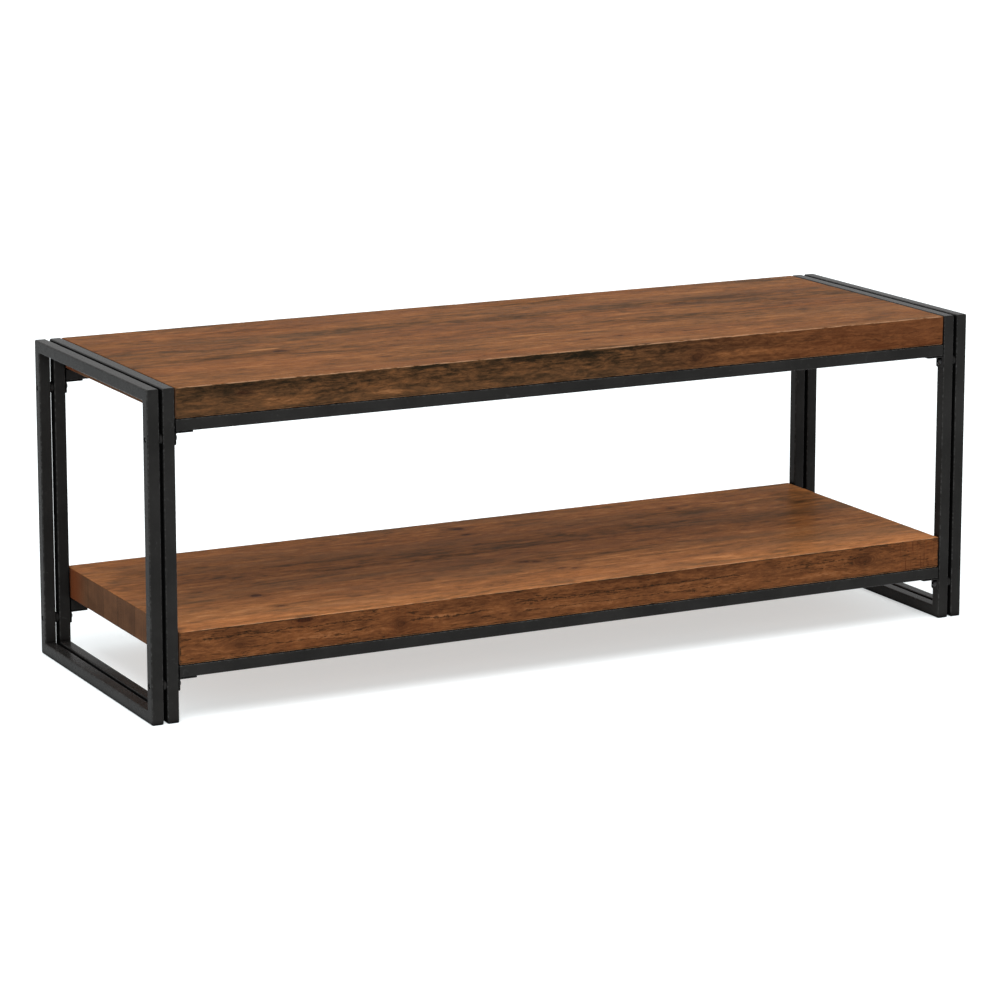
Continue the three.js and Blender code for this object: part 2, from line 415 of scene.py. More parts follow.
def knot_group():
    """A knot: how far it pushes the grain aside, its dark heart and the halo round it."""
    tree, graph, source, target = new_group("knot", PLACED, ("Push", "Heart", "Halo"))
    square, across = elliptic(graph, source)
    halo = graph.math("EXPONENT", graph.scaled(square, -0.22))
    graph.put(target["Push"], graph.scaled(graph.times(across, halo), -0.8))
    ragged = graph.stretched(source["Along"], 160.0, source["Across"], 420.0, 3.0, 3.0, 0.6)
    rough_edge = graph.total(square, (ragged, 0.9, 0.5))
    graph.put(target["Heart"], graph.smooth(rough_edge, 0.35, 1.05, 1.0, 0.0))
    graph.put(target["Halo"], halo)
    return tree


def patch_group():
    """A stained or burnt patch with a ragged edge."""
    tree, graph, source, target = new_group("patch", PLACED, ("Mask",))
    square, _ = elliptic(graph, source)
    ragged = graph.stretched(source["Along"], 22.0, source["Across"], 150.0, 7.0, 5.0, 0.62)
    rough_edge = graph.total(square, (ragged, 2.1, 0.5))
    graph.put(target["Mask"], graph.smooth(rough_edge, 0.15, 1.35, 1.0, 0.0))
    return tree


def crack_group():
    """A fine drying crack that wanders along the grain."""
    inputs = ("Along", "Across", "Start", "End", "Centre Across", "Wander", "Width")
    tree, graph, source, target = new_group("crack", inputs, ("Mask",))
    along = source["Along"]
    wave = graph.stretched(along, 30.0, source["Centre Across"], 500.0, 0.0, 4.0, 0.6)
    line = graph.total(source["Centre Across"], (wave, source["Wander"], 0.5))
    distance = graph.math("ABSOLUTE", graph.math("SUBTRACT", source["Across"], line))
    swell = graph.noise(graph.vector(graph.scaled(along, 130.0), 5.0, 0.0), 1.0, 3.0, 0.6)
    width = graph.times(source["Width"], graph.smooth(swell, 0.36, 0.72, 0.12, 1.25))
    core = graph.smooth(distance, 0.0, width, 1.0, 0.0)
    opened = graph.math("ADD", source["Start"], CRACK_FADE)
    opens = graph.smooth(along, source["Start"], opened)
    closing = graph.math("SUBTRACT", source["End"], CRACK_FADE)
    closes = graph.smooth(along, closing, source["End"], 1.0, 0.0)
    graph.put(target["Mask"], graph.times(core, graph.times(opens, closes)))
    return tree


KNOT, PATCH, CRACK = knot_group(), patch_group(), crack_group()


# ---- wood

STAIN = 0.78  # share of the light on a surface that the stain colours below stand for
TONE_STOPS = (0.0, 0.28, 0.5, 0.72, 1.0)


def stained(stops, *colours):
    """A ramp of stain colours, from dark to light wood."""
    return [(stop, linear(*colour, STAIN)) for stop, colour in zip(stops, colours)]


TOP_TONES = stained(TONE_STOPS, (47, 34, 22), (86, 59, 36), (116, 75, 43), (137, 88, 50), (163, 111, 68))
SIDE_TONES = stained(TONE_STOPS, (34, 28, 20), (69, 49, 32), (97, 66, 42), (120, 79, 48), (158, 108, 70))
END_TONES = stained((0.0, 0.35, 0.6, 1.0), (40, 29, 23), (82, 58, 43), (108, 76, 55), (140, 98, 68))
GREY_WOOD = linear(96, 71, 50, STAIN)
RED_WOOD = linear(131, 67, 34, STAIN)
KNOT_BROWN = linear(46, 27, 20, STAIN)
CHAR = linear(40, 33, 24, STAIN)
# lighter colour of rubbed edges: wear and a painted highlight
WEAR_HIGHLIGHT_TONE = linear(186, 142, 108, STAIN)
WOOD_SHINE = 0.002  # specular level, low enough to keep haze off the lacquer at a low angle
END_SHINE = 0.004

PLAIN_LOOK = {
    "red_from": 0.02,  # where along a side the red stain begins
    "chatter": 0.0,  # saw marks
    "rough": 0.34,
    "relief": 1.0,
    "fray": 0.0,  # torn long edges
    "checks": 0.0,  # short open checks
    # painted light: the face's colour is multiplied by this to make up for light it lacks
    "bright": 1.0,
}


def wood_look(**traits):
    """What sets one face of a board apart. Places are millimetres from the face's middle: along the bench,
    then across the face, towards the back on a top and upwards on a side. A knot, patch or pale streak is
    its place, half length, half width and strength. A crack is its start, end, place across, wander, half
    width and strength. bands are the tones of the staves, each at its share of the way across the face."""
    return SimpleNamespace(**{**PLAIN_LOOK, **traits})


SEAT_TOP = wood_look(
    tones=TOP_TONES, seed=2.3,
    bands=[(0.0, 0.58), (0.13, 0.60), (0.3, 0.64), (0.37, 0.49), (0.45, 0.46), (0.53, 0.57), (0.63, 0.43),
        (0.7, 0.42), (0.78, 0.56), (0.9, 0.60), (1.0, 0.49)],
    knots=[(-352, -26, 12, 7, 0.8), (-246, -124, 7, 4, 0.5), (46, -134, 6, 2.8, 0.8), (100, -128, 5, 3, 0.7),
        (162, -132, 6, 2.8, 0.8), (196, -136, 4, 2.4, 0.8), (430, -60, 5, 4, 0.4), (-480, 120, 6, 4, 0.4)],
    patches=[(110, 162, 85, 17, 0.6), (-430, -36, 110, 18, 0.42), (220, -30, 130, 16, 0.42),
        (-160, 76, 120, 16, 0.34), (20, 60, 90, 14, 0.34), (340, 80, 140, 20, 0.4), (480, 30, 110, 14, 0.3),
        (41, -190, 20, 8, 0.7), (-330, 140, 120, 12, 0.28), (300, -100, 100, 8, 0.26)],
    pale=[(-366, -6, 24, 7, 1.3), (10, -70, 50, 6, 0.35), (-250, -110, 60, 10, 0.25),
        (230, 20, 70, 8, 0.25)],
    cracks=[(-400, -300, -30, 6, 1.2, 0.5), (20, 220, -131, 4, 0.8, 0.5), (20, 360, 52, 10, 1.8, 0.4),
        (-560, -160, 66, 12, 1.8, 0.32)],
    grey=0.55, red=0.30, wear=1.2,
)
SHELF_TOP = wood_look(
    tones=TOP_TONES, seed=9.1,
    bands=[(0.0, 0.56), (0.12, 0.60), (0.28, 0.59), (0.3, 0.52), (0.37, 0.55), (0.38, 0.61), (0.53, 0.60),
        (0.54, 0.49), (0.66, 0.51), (0.67, 0.55), (0.78, 0.60), (0.9, 0.62), (1.0, 0.55)],
    knots=[(-409, -69, 10, 7.5, 0.95), (-402, -134, 7, 2.8, 0.7), (-3, 152, 10, 6.5, 0.9),
        (-9, 116, 9, 4.5, 0.9), (-19, 58, 7, 3, 0.8), (-12, -64, 10, 5, 0.6), (4, -70, 8, 4, 0.6),
        (18, -118, 9, 3.5, 0.7), (34, -124, 6, 3, 0.6), (330, 128, 6, 4, 0.5)],
    patches=[(150, 62, 170, 26, 0.24), (-300, 60, 180, 26, 0.24), (430, -10, 120, 40, 0.22),
        (-398, -196, 18, 8, 0.9), (-130, 12, 170, 8, 0.36), (80, -70, 130, 6, 0.34),
        # the last patch here, across the grain by the back-right leg, is a painted reflection of that leg
        (300, 100, 110, 14, 0.3), (-450, 110, 100, 14, 0.3), (530, 115, 40, 60, 0.5)],
    pale=[(-360, -90, 70, 10, 0.22), (200, -150, 120, 10, 0.2), (-240, 125, 80, 10, 0.2)],
    cracks=[(-100, 240, -49, 6, 2, 0.55), (-450, 300, 14, 5, 2, 0.55), (-140, 120, -81, 6, 1.6, 0.5),
        (-330, -40, 62, 6, 1.8, 0.55), (100, 420, 98, 8, 1.6, 0.45), (-520, -300, 30, 8, 1.6, 0.45)],
    # The last setting lifts this top's colour 1.86 times: painted light making up for the seat's shade.
    grey=0.80, red=0.16, wear=0.6, bright=1.86,
)
SEAT_SIDE = wood_look(
    tones=SIDE_TONES, seed=17.7,
    bands=[(0.0, 0.42), (0.3, 0.45), (0.62, 0.40), (0.85, 0.37), (1.0, 0.33)],
    knots=[(178, -4, 10, 6, 0.35), (-478, 6, 8, 3, 0.35)],
    patches=[(-340, 2, 45, 14, 0.6), (-205, 12, 55, 10, 0.7), (36, 4, 24, 18, 0.6), (-100, 16, 60, 6, 0.8),
        (0, 16, 50, 8, 0.85), (80, 17, 40, 5, 0.7), (-90, -10, 40, 6, 0.45), (140, 10, 45, 8, 0.4),
        (-500, 12, 40, 6, 0.4), (330, 8, 50, 5, 0.35)],
    pale=[(-420, -10, 50, 6, 0.35), (-270, -12, 30, 4, 0.35), (250, -4, 60, 5, 0.25)],
    cracks=[(-300, 50, 9, 10, 1.1, 0.8), (-520, -360, 4, 8, 1, 0.8), (220, 500, 3, 6, 0.7, 0.7)],
    grey=0.40, red=0.55, chatter=0.35, rough=0.40, relief=1.5, wear=1.0, fray=0.30, checks=0.35,
)
SHELF_SIDE = wood_look(
    tones=SIDE_TONES, seed=23.9,
    bands=[(0.0, 0.56), (0.35, 0.60), (0.7, 0.56), (1.0, 0.50)],
    knots=[(449, 2, 15, 7, 0.3), (-262, -4, 7, 5.5, 0.45), (-398, 17.5, 14, 4, 1), (-490, -5, 8, 3.5, 0.35)],
    patches=[(-480, 4, 40, 8, 0.5), (-190, 8, 60, 7, 0.6), (110, 6, 80, 6, 0.45), (80, 18, 120, 3.5, 0.7),
        (260, 15, 60, 4, 0.5), (-60, -12, 60, 4, 0.35)],
    pale=[(-330, -8, 60, 5, 0.35), (20, -10, 70, 4, 0.3), (380, -10, 50, 4, 0.3), (-200, 0, 30, 3, 0.4)],
    cracks=[(-270, -120, -1, 16, 3.2, 1), (-110, 270, 4, 12, 2.2, 1), (-560, -300, 8, 12, 2, 1),
        (-60, 200, -8, 10, 1.4, 0.9), (300, 460, 6, 14, 2, 0.9), (-500, -360, -9, 10, 1.6, 0.9)],
    grey=0.30, red=0.42, red_from=-1.2, chatter=1.0, rough=0.44, relief=2.6, wear=0.25, fray=1.0, checks=1.0,
)


def metres(lengths):
    return [length * MM for length in lengths]


def wood_material(name, look, box, side):
    """Long-grain wood. side is True for the front and back faces, False for the top and the underside."""
    material, graph, shader = new_material(name)
    place = graph.add("ShaderNodeTexCoord").outputs["Object"]
    parts = graph.parts(place)
    centre = middle(box)
    rise = graph.math("SUBTRACT", parts["Z"], centre.z)
    if side:  # the back face is the front turned round
        along = graph.times(parts["X"], graph.math("SIGN", graph.scaled(parts["Y"], -1.0)))
        across, depth, width = rise, parts["Y"], box[1][2] - box[0][2]
    else:  # the underside is the top turned over
        along = parts["X"]
        across = graph.times(parts["Y"], graph.math("SIGN", rise))
        depth, width = rise, box[1][1] - box[0][1]

    # The grain bends round the knots and drifts slowly.
    slow = graph.stretched(along, 1.7, across, 7.0, look.seed, 2.0)
    bent = graph.total(across, (slow, 0.1 * width, 0.5))
    heart, halo = 0.0, 0.0
    for *spot, strength in look.knots:
        knot = graph.use(KNOT, along, across, *metres(spot))
        bent = graph.math("ADD", bent, knot["Push"])
        heart = graph.math("MAXIMUM", heart, graph.scaled(knot["Heart"], strength))
        halo = graph.math("MAXIMUM", halo, knot["Halo"])

    def grain(per_along, per_across, detail, rough, shift=0.0, distortion=0.0):
        vector = graph.vector(graph.scaled(along, per_along), graph.scaled(bent, per_across),
                              graph.math("ADD", graph.scaled(depth, 40.0), look.seed + shift))
        return graph.noise(vector, 1.0, detail, rough, distortion)

    fine = 2.1 if side else 1.0  # the figure of the narrow faces is finer
    broad = grain(4.0 * fine, 20.0 * fine, 3.0, 0.55)
    blotch = grain(13.0 * fine, 42.0 * fine, 6.0, 0.70, 31.0, 0.7)
    streak = grain(5.5, 105.0 * fine, 6.0, 0.66, 11.0, 0.35)
    shreds = grain(38.0 * fine, 150.0 * fine, 5.0, 0.68, 61.0, 0.6)
    fibre = grain(60.0, 1150.0, 4.0, 0.6, 23.0)
    pores = graph.smooth(grain(85.0, 1500.0, 2.0, 0.5, 41.0), 0.60, 0.71)
    flecks = graph.smooth(grain(34.0, 300.0, 3.0, 0.55, 47.0), 0.635, 0.72)

    fraction = graph.total(0.5, (bent, 1.0 / width))
    tone = graph.total(
        graph.ramp(fraction, look.bands, "EASE"),
        (broad, 0.50, 0.5),
        (blotch, 1.20, 0.5),
        (streak, 0.75, 0.5),
        (shreds, 1.15, 0.5),
        (fibre, 0.35, 0.5),
    )

    def patched(patches):
        mask = 0.0
        for *spot, strength in patches:
            patch = graph.use(PATCH, along, bent, *metres(spot))
            mask = graph.math("MAXIMUM", mask, graph.scaled(patch["Mask"], strength))
        return mask

    stain = patched(look.patches)
    streaked = graph.times(stain, graph.smooth(blotch, 0.30, 0.62, 1.0, 0.35))
    tone = graph.total(tone, (streaked, -0.42), (patched(look.pale), 0.60))
    weathered = graph.smooth(grain(2.2, 18.0 * fine, 4.0, 0.65, 53.0), 0.44, 0.66)
    if side:
        redder = graph.smooth(along, look.red_from, look.red_from + 0.43)
    else:
        redder = graph.smooth(grain(2.4, 16.0, 4.0, 0.6, 59.0), 0.42, 0.64)
    waves = {"Vector": graph.vector(halo, 0.0, 0.0), "Scale": 2.6, "Distortion": 0.6}
    rings = graph.add("ShaderNodeTexWave", waves, wave_type="BANDS").outputs["Fac"]
    colour = graph.layered(
        graph.ramp(tone, look.tones),
        (weathered, look.grey * 0.55, GREY_WOOD),
        (redder, look.red * 0.6, RED_WOOD),
        (streaked, 0.30, CHAR),
        (halo, 0.34, KNOT_BROWN),
        (graph.times(graph.smooth(halo, 0.45, 0.8), rings), 0.30, KNOT_BROWN),
        (heart, 0.86, KNOT_BROWN),
        (flecks, 0.55, KNOT_BROWN),
        (pores, 0.38, KNOT_BROWN),
    )

    split = 0.0
    for *run, strength in look.cracks:
        crack = graph.use(CRACK, along, across, *metres(run))
        split = graph.math("MAXIMUM", split, graph.scaled(crack["Mask"], strength))
    # Short checks open in drifts where the surface was left rough.
    drifts = graph.smooth(grain(9.0, 50.0, 3.0, 0.6, 83.0), 0.45, 0.56)
    opened = graph.smooth(grain(55.0, 420.0, 4.0, 0.66, 89.0, 0.8), 0.555, 0.62)
    opened = graph.scaled(graph.times(opened, drifts), look.checks)
    split = graph.math("MAXIMUM", split, opened)
    colour = graph.layered(colour, (split, 0.88, CHAR))

    # Saw marks stand across the grain, in drifts.
    sawn = graph.stretched(along, 330.0, across, 22.0, look.seed, 2.0)
    drift = graph.noise(graph.vector(graph.scaled(along, 6.0), 2.0, look.seed), 1.0, 2.0)
    drift = graph.smooth(drift, 0.5, 0.68)
    if side:
        drift = graph.math("MAXIMUM", drift, graph.smooth(along, 0.46, 0.52))
    marks = graph.scaled(graph.times(graph.scaled(sawn, 1.0, 0.5), drift), look.chatter)
    reddened = graph.math("MULTIPLY", graph.math("ABSOLUTE", marks), 1.1, clamp=True)
    colour = graph.mix(reddened, colour, RED_WOOD)
    notched = graph.math("MULTIPLY", graph.smooth(marks, -0.22, -0.05, 1.0, 0.0), 0.45, clamp=True)
    colour = graph.mix(notched, colour, KNOT_BROWN)

    # Long edges: torn grain that took more stain, then lacquer rubbed thin on the very corner and lightened,
    # which is wear and a painted highlight.
    rim = graph.add("ShaderNodeAttribute", attribute_name="rim").outputs["Fac"]
    tears = graph.stretched(along, 26.0, across, 190.0, 4.0, 6.0, 0.7)
    torn = graph.times(graph.smooth(rim, 0.30, 0.62), graph.smooth(tears, 0.475, 0.53))
    torn = graph.scaled(torn, look.fray)
    rubbed_highlight = graph.stretched(along, 40.0, across, 200.0, 1.0, 4.0, 0.65)
    wear_highlight = graph.times(graph.smooth(rim, 0.55, 0.80), graph.smooth(rubbed_highlight, 0.38, 0.54))
    half = (box[1][0] - box[0][0]) / 2
    from_middle = graph.math("ABSOLUTE", along)
    wear_highlight = graph.times(wear_highlight, graph.smooth(from_middle, half - 6 * MM, half, 1.0, 0.0))
    if side:  # only the upper edge gets the rubbed wear and painted highlight
        wear_highlight = graph.times(wear_highlight, graph.smooth(across, 0.0, 8 * MM))
    colour = graph.layered(colour, (torn, 0.85, CHAR), (wear_highlight, look.wear * 0.7, WEAR_HIGHLIGHT_TONE))
    # Painted light: a face that gets too little light, like the shelf under the seat, has its colour
    # multiplied up.
    if look.bright != 1.0:
        colour = graph.mix(1.0, colour, (look.bright, look.bright, look.bright, 1.0), "MULTIPLY")

    height = graph.total(
        0.0,
        (streak, 0.30 * look.relief),
        (fibre, 0.16 * look.relief),
        (blotch, 0.25 * look.relief),
        (shreds, 0.35 * look.relief),
        (pores, -0.30),
        (flecks, -0.40 * look.relief),
        (split, -1.8),
        (torn, -0.8),
        (heart, -0.6),
        (marks, 0.9),
    )
    graph.fill(shader, {
        "Base Color": colour,
        "Roughness": graph.total(
            look.rough, (streak, 0.16, 0.5), (pores, 0.18), (stain, 0.10), (split, 0.30), (wear_highlight, 0.12)),
        "Specular IOR Level": WOOD_SHINE,
        "Normal": graph.bump(height, 0.55, 0.6 * MM),
    })
    return material


def end_grain_material(name, box, seed, joints):
    """The sawn ends: staves side by side, each with its own rings. joints are fractions of the depth."""
    material, graph, shader = new_material(name)
    place = graph.add("ShaderNodeTexCoord").outputs["Object"]
    parts = graph.parts(place)
    low, high = box
    depth = high[1] - low[1]
    share = graph.scaled(parts["Y"], 1.0 / depth, low[1])
    stave, seam = 0.0, 0.0
    for joint in joints:
        stave = graph.math("ADD", stave, graph.math("GREATER_THAN", share, joint))
        near = graph.math("ABSOLUTE", graph.math("SUBTRACT", share, joint))
        seam = graph.math("MAXIMUM", seam, graph.smooth(near, 0.0005, 0.0018, 1.0, 0.0))
    stave = graph.math("ADD", stave, seed)
    picked = graph.add("ShaderNodeTexWhiteNoise", {"W": stave}, noise_dimensions="1D")
    chance = graph.parts(picked.outputs["Color"])

    def pattern(per_y, per_z, detail, rough=0.5):
        spot = graph.vector(0.0, graph.scaled(parts["Y"], per_y), graph.scaled(parts["Z"], per_z))
        return graph.noise(spot, 1.0, detail, rough)

    # Growth rings about a heart below the board, at a place of its own for each stave.
    heart_y = graph.total(parts["Y"], (chance["X"], 0.11, 0.5))
    heart_z = graph.total(graph.math("SUBTRACT", parts["Z"], low[2] - 0.03), (chance["Y"], -0.05))
    square = graph.math("ADD", graph.times(heart_y, heart_y), graph.times(heart_z, heart_z))
    radius = graph.total(graph.math("SQRT", square), (pattern(40.0, 40.0, 3.0), 0.004, 0.5))
    year = graph.math("FRACT", graph.scaled(radius, 290.0))
    late = graph.smooth(year, 0.55, 0.98)
    vessels = graph.smooth(graph.noise(place, 1500.0, 2.0, 0.5), 0.56, 0.68)
    blotch = pattern(16.0, 28.0, 4.0, 0.6)
    sawn = pattern(520.0, 16.0, 3.0, 0.6)
    tone = graph.total(0.56, (chance["Z"], 0.12, 0.5), (blotch, 0.6, 0.5), (sawn, 0.30, 0.5), (late, -0.13))
    back = graph.smooth(share, 0.80, 0.97)
    layers = ((back, 0.75, RED_WOOD), (vessels, 0.40, KNOT_BROWN), (seam, 0.75, CHAR))
    height = graph.total(0.0, (sawn, 0.9), (late, 0.25), (vessels, -0.4), (seam, -0.9))
    graph.fill(shader, {
        "Base Color": graph.layered(graph.ramp(tone, END_TONES), *layers),
        "Roughness": graph.total(0.46, (blotch, 0.15, 0.5), (vessels, 0.15)),
        "Specular IOR Level": END_SHINE,
        "Normal": graph.bump(height, 0.5, 0.3 * MM),
    })
    return material


# ---- metals

CREVICE = 14 * MM  # gaps narrower than this get painted shade
# dark colour of the painted shade in narrow gaps
CREVICE_SHADE = linear(20, 20, 20, 0.6)


def coated_metal(name, base, wear_highlight, rough, peel=0.05, wear=0.5, metallic=0.0, level=0.5):
    """Painted or blackened steel: orange peel, dust in the coat, and rounded edges rubbed brighter, which is
    wear and a painted highlight. In narrow gaps, found by ambient occlusion, the colour and the specular are
    darkened as painted shade."""
    material, graph, shader = new_material(name)
    place = graph.add("ShaderNodeTexCoord").outputs["Object"]
    cloud = graph.noise(place, 14.0, 4.0, 0.6)
    grit = graph.noise(place, 900.0, 3.0, 0.6)
    texture = graph.noise(place, 2600.0, 2.0, 0.5)
    scuffs = graph.smooth(graph.noise(place, 75.0, 5.0, 0.7, 1.5), 0.60, 0.74)
    rim = graph.add("ShaderNodeAttribute", attribute_name="rim").outputs["Fac"]
    chips = graph.smooth(graph.noise(place, 240.0, 4.0, 0.7), 0.42, 0.66)
    # Rubbed rounded edges, lighter: wear and a painted highlight along the tube corners.
    rubbed_highlight = graph.times(graph.smooth(rim, 0.3, 0.95), chips)
    dark = tuple(channel * 0.72 for channel in base[:3]) + (1.0,)
    colour = graph.mix(graph.smooth(cloud, 0.3, 0.7), dark, base)
    # Painted shade: ambient occlusion darkens the colour and the specular in narrow gaps, such as between
    # the frames.
    open_air = graph.add("ShaderNodeAmbientOcclusion", {"Distance": CREVICE}, samples=8).outputs["AO"]
    unshaded = graph.smooth(open_air, 0.45, 0.80)
    colour = graph.layered(colour, (scuffs, 0.22, wear_highlight), (rubbed_highlight, wear, wear_highlight))
    gloss = ((cloud, 0.14, 0.5), (grit, 0.10, 0.5), (scuffs, -0.05), (rubbed_highlight, -0.08))
    height = graph.total(grit, (texture, 0.5), (scuffs, -0.15))
    graph.fill(shader, {
        "Base Color": graph.mix(unshaded, CREVICE_SHADE, colour),
        "Metallic": metallic,
        "Specular IOR Level": graph.scaled(unshaded, level),
        "Roughness": graph.total(rough, *gloss),
        "Normal": graph.bump(height, 0.5, peel * MM),
    })
    return material


COAT = coated_metal("powder_coat", linear(46, 45, 44, 0.74), linear(97, 97, 96, 0.7), 0.27, level=0.02)
BOLT_BLACK = coated_metal("black_oxide", linear(52, 52, 53), linear(128, 128, 129), 0.34, 0.015, 0.7, 0.75)
ZINC = coated_metal("zinc_plate", linear(168, 170, 172), linear(205, 206, 208), 0.30, 0.012, 0.5, 1.0)


# ---- steel pieces

def section_points(size, corner, steps):
    """A rounded square about the origin as (a, b, rim), where rim is 1 in the middle of a rounded edge."""
    points = []
    reach = size / 2 - corner
    for quarter in range(4):
        cx = reach * (1 if quarter in (0, 3) else -1)
        cy = reach * (1 if quarter in (0, 1) else -1)
        for i in range(steps + 1):
            angle = math.pi / 2 * (quarter + i / steps)
            rim = math.sin(math.pi * i / steps)
            points.append((cx + corner * math.cos(angle), cy + corner * math.sin(angle), rim))
    return points


def set_rim(bm, values):
    layer = bm.verts.layers.float.new("rim")
    for vert, value in zip(bm.verts, values):
        vert[layer] = value


def frame_mesh(low, high, bolts):
    """One welded rectangle of tube in the YZ plane, drilled along X at each (y, z) of bolts."""
    size = high.x - low.x
    centre = (low + high) / 2
    half_y = (high.y - low.y) / 2 - size / 2
    half_z = (high.z - low.z) / 2 - size / 2
    section = section_points(size, TUBE_CORNER, CORNER_STEPS)
    rings, rims = [], []
    for corner, (side_y, side_z) in enumerate(((1, 1), (-1, 1), (-1, -1), (1, -1))):
        for i in range(WELD_STEPS + 1):
            swing = math.pi / 2 * i / WELD_STEPS
            if corner % 2:
                swing = math.pi / 2 - swing
            turn_y = WELD_RADIUS * (math.cos(swing) - 1)
            turn_z = WELD_RADIUS * (math.sin(swing) - 1)
            ring = []
            for out, sideways, rim in section:
                y = centre.y + side_y * (half_y + out + turn_y)
                z = centre.z + side_z * (half_z + out + turn_z)
                ring.append((centre.x + sideways, y, z))
                rims.append(rim)
            rings.append(ring)
    bm = ring_mesh(rings, closed_rings=True)
    set_rim(bm, rims)
    drills = [prism(BOLT_RADIUS + HOLE_CLEARANCE, 2 * size, (1, 0, 0), (centre.x, y, z)) for y, z in bolts]
    return drilled(bm, drills)


def rail_mesh(box, screws, access):
    """A square tube along X with open ends. At each x of screws a hole goes up through its top wall, over a
    wider access hole of radius access in its bottom wall."""
    low, high = box
    size = high[2] - low[2]
    centre = middle(box)
    outside = section_points(size, TUBE_CORNER, CORNER_STEPS)
    inside = section_points(size - 2 * TUBE_WALL, TUBE_CORNER / 2, CORNER_STEPS)
    length = high[0] - low[0]
    rings, rims = [], []
    # round the tube: along the outside, over the end, back along the inside and over the other end
    for section, places in ((outside, (-1, 1)), (inside, (1, -1))):
        for end in places:
            x = centre.x + end * length / 2
            rings.append([(x, centre.y + a, centre.z + b) for a, b, _ in section])
            rims.extend(rim for _, _, rim in section)
    bm = ring_mesh(rings, closed_rings=True)
    set_rim(bm, rims)
    drills = []
    for x in screws:
        drills.append(prism(SCREW_RADIUS + HOLE_CLEARANCE, size, (0, 0, 1), (x, centre.y, high[2])))
        drills.append(prism(access, size, (0, 0, 1), (x, centre.y, low[2])))
    return bevelled(drilled(bm, drills), RAIL_EASE, 1, math.radians(60))


def bracket_mesh(box, side, bolt_z):
    """A bent angle: one flange under the rail, the other down the leg, with a hole for the bolt. It is made
    as a flat strip whose points are then wrapped round the bend."""
    low, high = box
    width = high[1] - low[1]
    reach = high[0] - low[0]
    drop = high[2] - low[2]
    inner = BRACKET_BEND - BRACKET_THICKNESS
    bend = math.pi / 2 * (BRACKET_BEND + inner) / 2
    flange, tail = reach - BRACKET_BEND, drop - BRACKET_BEND
    total = flange + bend + tail
    # places along the strip, each with the half width that the rounded corners leave
    rounded = []
    for i in range(BRACKET_STEPS + 1):
        angle = math.pi / 2 * i / BRACKET_STEPS
        half = width / 2 - BRACKET_CORNER * (1 - math.sin(angle))
        rounded.append((BRACKET_CORNER * (1 - math.cos(angle)), half))
    strip = rounded + [(flange + bend * i / BRACKET_STEPS, width / 2) for i in range(BRACKET_STEPS + 1)]
    strip += [(total - travel, half) for travel, half in reversed(rounded)]

    def wrapped(travel, depth):
        """Place on the bent strip, depth below its outer face, as (x from the leg, z from the rail)."""
        if travel <= flange:
            return reach - travel, -depth
        if travel <= flange + bend:
            turn = (travel - flange) / bend * math.pi / 2
            radius = BRACKET_BEND - depth
            return BRACKET_BEND - radius * math.sin(turn), -BRACKET_BEND + radius * math.cos(turn)
        return depth, -BRACKET_BEND - (travel - flange - bend)

    face_x = low[0] if side < 0 else high[0]
    centre_y = (low[1] + high[1]) / 2
    rings = []
    for travel, half in strip:
        ring = []
        for depth, edge in ((0, -1), (0, 1), (BRACKET_THICKNESS, 1), (BRACKET_THICKNESS, -1)):
            x, z = wrapped(travel, depth)
            ring.append((face_x - side * x, centre_y + edge * half, high[2] + z))
        rings.append(ring)
    bm = ring_mesh(rings, caps=True)
    hole = prism(BOLT_RADIUS + HOLE_CLEARANCE, 6 * BRACKET_THICKNESS, (1, 0, 0), (face_x, centre_y, bolt_z))
    return bevelled(drilled(bm, [hole]), BRACKET_EASE, 2, math.radians(50))


def dome(radius, height):
    """Points of a dome from its rim up to the axis."""
    sphere = (radius * radius + height * height) / (2 * height)
    rim = math.asin(radius / sphere)
    points = []
    for i in range(DOME_STEPS + 1):
        angle = rim * (1 - i / DOME_STEPS)
        r = 0 if i == DOME_STEPS else sphere * math.sin(angle)
        points.append((r, height - sphere * (1 - math.cos(angle))))
    return points


def rows(low, high, step):
    count = max(1, round((high - low) / step))
    return [low + (high - low) * i / count for i in range(count + 1)]


def thread_cut(start, end, pitch, depth, fade):
    """How much a thread takes off the radius at a height and a share of a turn."""
    def cut(height, turn):
        if not start <= height <= end:
            return 0.0
        phase = (height / pitch + turn) % 1.0
        tooth = abs(2 * phase - 1)
        envelope = min(1.0, (end - height) / fade)
        return depth * (1 - tooth) * max(0.0, envelope)
    return cut


